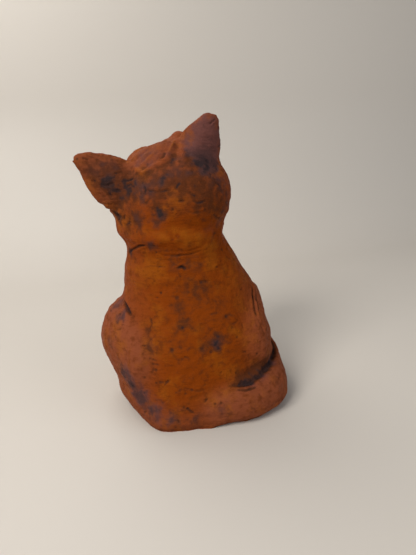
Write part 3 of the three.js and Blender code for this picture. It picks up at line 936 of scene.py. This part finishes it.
# fired clay with the wash on it
terracotta = {
    "clayWarm": (0.185, 0.034, 0.0015, 1),
    "clayRed": (0.196, 0.051, 0.020, 1),
    "clayPale": (0.260, 0.072, 0.005, 1),
    "clayBrown": (0.100, 0.022, 0.004, 1),
    "smokeColor": (0.112, 0.044, 0.040, 1),
    "brownWash": (0.070, 0.021, 0.008, 1),
    "slateWash": (0.053, 0.025, 0.023, 1),
    "blackWash": (0.020, 0.015, 0.016, 1),
    "slateLimits": (0.15, 0.75),  # of smoke, where the wash turns from brown to slate
    # noise clouds: scale, detail, roughness, stretch
    "clouds": {
        "broad": (55, 4, 0.6),
        "middle": (210, 4, 0.6),
        "fine": (900, 3, 0.6),
        "drag": (420, 3, 0.6, (0.35, 0.35, 1.6)),
    },
    "speckScale": 130, "speckEdge": (0.18, 0.06), "speckLimits": (0.50, 0.60), "speckDark": 0.25,
    # grain that breaks up smoke and stains: shares of two clouds, their middle, and its strength
    "grainMiddle": 0.7, "grainFine": 0.5, "grainLevel": 0.6, "grainGain": 0.8,
    # coats from the clay upwards: what drives it, where it starts and is full, its cover there, its color
    "coats": [
        ("broad", 0.48, 0.72, 0.50, "clayPale"),
        ("middle", 0.48, 0.72, 0.62, "clayBrown"),
        ("drag", 0.52, 0.76, 0.50, "clayBrown"),
        # below nought the stain layer turns pale, from the wash rubbed off and from painted light; above it
        # the patchy coats darken with the wash and with painted shade
        ("stain", 0.0, -0.5, 0.65, "clayPale"),
        ("hazy", 0.05, 0.95, 0.88, "smokeColor"),
        ("patchy", 0.06, 0.80, 0.85, "washTone"),
        ("patchy", 0.88, 1.40, 0.82, "blackWash"),
    ],
    "specular": 0.015,
    "rough": (0.46, 0.70), "roughLimits": (0.35, 0.70), "stainRough": 0.06,
    "fineBump": 0.22, "dragBump": 0.3, "middleBump": 0.4, "speckBump": 0.25,
    "bumpStrength": 0.85, "bumpDistance": 0.0018,  # m
}


def terracottaMaterial():
    finish = terracotta
    material = bpy.data.materials.new("terracotta")
    material.use_nodes = True
    nodes = material.node_tree.nodes
    link = material.node_tree.links.new
    shader = nodes["Principled BSDF"]
    shader.inputs["Specular IOR Level"].default_value = finish["specular"]
    where = nodes.new("ShaderNodeTexCoord").outputs["Object"]

    def cloud(scale, detail, rough, stretch=(1, 1, 1)):
        mapping = nodes.new("ShaderNodeMapping")
        mapping.inputs["Scale"].default_value = stretch
        link(where, mapping.inputs["Vector"])
        tex = nodes.new("ShaderNodeTexNoise")
        tex.inputs["Scale"].default_value = scale
        tex.inputs["Detail"].default_value = detail
        tex.inputs["Roughness"].default_value = rough
        link(mapping.outputs["Vector"], tex.inputs["Vector"])
        return tex.outputs["Fac"]

    def ramp(value, low, high, to=(0.0, 1.0)):
        spread = nodes.new("ShaderNodeMapRange")
        spread.interpolation_type = "SMOOTHSTEP"
        spread.inputs["From Min"].default_value = low
        spread.inputs["From Max"].default_value = high
        spread.inputs["To Min"].default_value = to[0]
        spread.inputs["To Max"].default_value = to[1]
        link(value, spread.inputs["Value"])
        return spread.outputs["Result"]

    def fill(socket, value):
        if isinstance(value, (int, float, tuple)):
            socket.default_value = value
        else:
            link(value, socket)

    def sums(kind, first, second):
        node = nodes.new("ShaderNodeMath")
        node.operation = kind
        fill(node.inputs[0], first)
        fill(node.inputs[1], second)
        return node.outputs["Value"]

    def plus(value, part, gain):
        return sums("ADD", value, sums("MULTIPLY", part, gain))

    def blend(share, first, second):
        node = nodes.new("ShaderNodeMix")
        node.data_type = "RGBA"
        link(share, node.inputs["Factor"])
        fill(node.inputs["A"], first)
        fill(node.inputs["B"], second)
        return node.outputs["Result"]

    def painted(name):
        layer = nodes.new("ShaderNodeAttribute")
        layer.attribute_name = name
        return layer.outputs["Fac"]

    drives = {name: cloud(*values) for name, values in finish["clouds"].items()}
    broad, middle, fine, drag = drives.values()
    stainShadeLightLayer, smokeLayer = painted("stain"), painted("smoke")
    cells = nodes.new("ShaderNodeTexVoronoi")
    cells.inputs["Scale"].default_value = finish["speckScale"]
    link(where, cells.inputs["Vector"])
    dots = ramp(cells.outputs["Distance"], *finish["speckEdge"])
    speck = sums("MULTIPLY", dots, ramp(broad, *finish["speckLimits"]))
    grain = plus(sums("MULTIPLY", middle, finish["grainMiddle"]), fine, finish["grainFine"])
    grain = sums("SUBTRACT", grain, finish["grainLevel"])
    drives["stain"] = stainShadeLightLayer
    drives["hazy"] = plus(smokeLayer, grain, finish["grainGain"])
    drives["patchy"] = plus(plus(stainShadeLightLayer, grain, finish["grainGain"]), speck, finish["speckDark"])
    washTone = blend(ramp(smokeLayer, *finish["slateLimits"]), finish["brownWash"], finish["slateWash"])
    # redder clay mixed in, partly painted sheen towards the sides and on the left haunch
    color = blend(painted("blush"), finish["clayWarm"], finish["clayRed"])
    for drive, start, full, cover, tone in finish["coats"]:
        share = ramp(drives[drive], start, full, (0, cover))
        color = blend(share, color, finish.get(tone, washTone))
    link(color, shader.inputs["Base Color"])
    shine = plus(ramp(middle, *finish["roughLimits"], finish["rough"]), stainShadeLightLayer, finish["stainRough"])
    link(shine, shader.inputs["Roughness"])
    relief = plus(sums("MULTIPLY", fine, finish["fineBump"]), drag, finish["dragBump"])
    relief = plus(relief, middle, finish["middleBump"])
    relief = sums("SUBTRACT", relief, sums("MULTIPLY", speck, finish["speckBump"]))
    bump = nodes.new("ShaderNodeBump")
    bump.inputs["Strength"].default_value = finish["bumpStrength"]
    bump.inputs["Distance"].default_value = finish["bumpDistance"]
    link(relief, bump.inputs["Height"])
    link(bump.outputs["Normal"], shader.inputs["Normal"])
    return material


clay = terracottaMaterial()
print("terracotta mixed")

# votes between neighbouring faces on whose lump they are, and the weight of a face's own
patchVotes = {"rounds": 8, "own": 1.1}


# each face's lump, with even edges between lumps
def patchOwners():
    mesh = skin.data
    corners = [[Vector(restPlace[v]) for v in p.vertices] for p in mesh.polygons]
    owner = np.array([ownerOf(sum(c, Vector()) / len(c) * mm) for c in corners])
    loopEdge = np.empty(len(mesh.loops), dtype=np.int64)
    mesh.loops.foreach_get("edge_index", loopEdge)
    loopFace = np.repeat(np.arange(len(mesh.polygons)), [p.loop_total for p in mesh.polygons])
    order = np.argsort(loopEdge, kind="stable")
    pairs = loopFace[order].reshape(-1, 2)
    rows = np.arange(len(owner))
    for _ in range(patchVotes["rounds"]):
        votes = np.zeros((len(owner), len(nodeNames)))
        np.add.at(votes, (pairs[:, 0], owner[pairs[:, 1]]), 1)
        np.add.at(votes, (pairs[:, 1], owner[pairs[:, 0]]), 1)
        votes[rows, owner] += patchVotes["own"]
        owner = votes.argmax(1)
    return owner, pairs


# faces cut off from their lump's main patch go to the lump around them
def wholePatches(owner, pairs):
    touching = [[] for _ in owner]
    for first, second in pairs:
        touching[first].append(second)
        touching[second].append(first)
    island = np.full(len(owner), -1)
    sizes = []
    for start in range(len(owner)):
        if island[start] >= 0:
            continue
        island[start] = len(sizes)
        queue = [start]
        for face in queue:
            for other in touching[face]:
                if island[other] < 0 and owner[other] == owner[start]:
                    island[other] = len(sizes)
                    queue.append(other)
        sizes.append((owner[start], len(queue), queue))
    largest = {}
    for kind, size, _ in sizes:
        largest[kind] = max(size, largest.get(kind, 0))
    for kind, size, queue in sizes:
        if size < largest[kind]:
            around = [owner[o] for f in queue for o in touching[f] if owner[o] != kind]
            if around:
                owner[queue] = max(set(around), key=around.count)
    return owner


faceOwner = wholePatches(*patchOwners())
print("lumps found again,", len(set(faceOwner)), "patches")

# wall of each finished piece in mm; the body, neck and head are hollow
walls = {
    "torso_shell": 8.5, "neck_collar": 8.0, "head_shell": 7.0, "tail": 3.0,
    "haunch": 4.0, "foreleg": 3.0, "cheek": 3.0, "ear": 1.0,
}
otherWall = 2.0
# the body's underside is open: faces go that look down this far and lie this low, in mm
openUnder = {
    "nodes": ("torso_shell",),
    "tilt": -0.55,
    "height": 2.5,
    "levelHeight": 14,  # below this the inside runs straight down
}
sharpEdge = 1.0  # radians


def splitPieces():
    skin.data.materials.clear()
    for name in nodeNames:
        skin.data.materials.append(bpy.data.materials.new(name))
    skin.data.polygons.foreach_set("material_index", faceOwner.astype(np.int32))
    bpy.ops.object.select_all(action="DESELECT")
    skin.select_set(True)
    bpy.context.view_layer.objects.active = skin
    bpy.ops.object.mode_set(mode="EDIT")
    bpy.ops.mesh.separate(type="MATERIAL")
    bpy.ops.object.mode_set(mode="OBJECT")
    return [o for o in bpy.context.selected_objects if o.type == "MESH"]


def thicken(piece, node):
    wall = nodeValue(walls, node, otherWall) * mm
    bm = bmesh.new()
    bm.from_mesh(piece.data)
    isOpen = node in openUnder["nodes"]
    if isOpen:
        low = [f for f in bm.faces if f.calc_center_median().z < openUnder["height"] * mm]
        under = [f for f in low if f.normal.z < openUnder["tilt"]]
        bmesh.ops.delete(bm, geom=under, context="FACES")
    home = bm.verts.layers.float_vector["restPlace"]
    facing = bm.verts.layers.float_vector["restNormal"]
    outer = set(bm.verts)
    bmesh.ops.solidify(bm, geom=bm.faces[:], thickness=wall)
    for vert in set(bm.verts) - outer:
        level = min(1.0, max(0.0, vert[home].z / (openUnder["levelHeight"] * mm))) if isOpen else 1.0
        inward = Vector((vert[facing].x, vert[facing].y, vert[facing].z * level)).normalized()
        vert.co = vert[home] - inward * wall
        vert.co.z = max(vert.co.z, 0.0)
    bmesh.ops.recalc_face_normals(bm, faces=bm.faces)
    bm.normal_update()
    for edge in bm.edges:
        edge.smooth = edge.calc_face_angle(0) < sharpEdge
    bm.to_mesh(piece.data)
    bm.free()


def finishPieces():
    pieces = splitPieces()
    for piece in pieces:
        node = piece.data.materials[piece.data.polygons[0].material_index].name
        thicken(piece, node)
        piece.data.materials.clear()
        piece.data.materials.append(clay)
        oneSlot = np.zeros(len(piece.data.polygons), dtype=np.int32)
        piece.data.polygons.foreach_set("material_index", oneSlot)
        words = node.split("_")
        piece.name = words[0] + "".join(w.capitalize() for w in words[1:]) + "Clay"
        piece.data.name = piece.name
        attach(piece, "root")
        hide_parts(node)
    for name in nodeNames:
        bpy.data.materials.remove(bpy.data.materials[name])
    print("pieces finished,", len(pieces))


finishPieces()
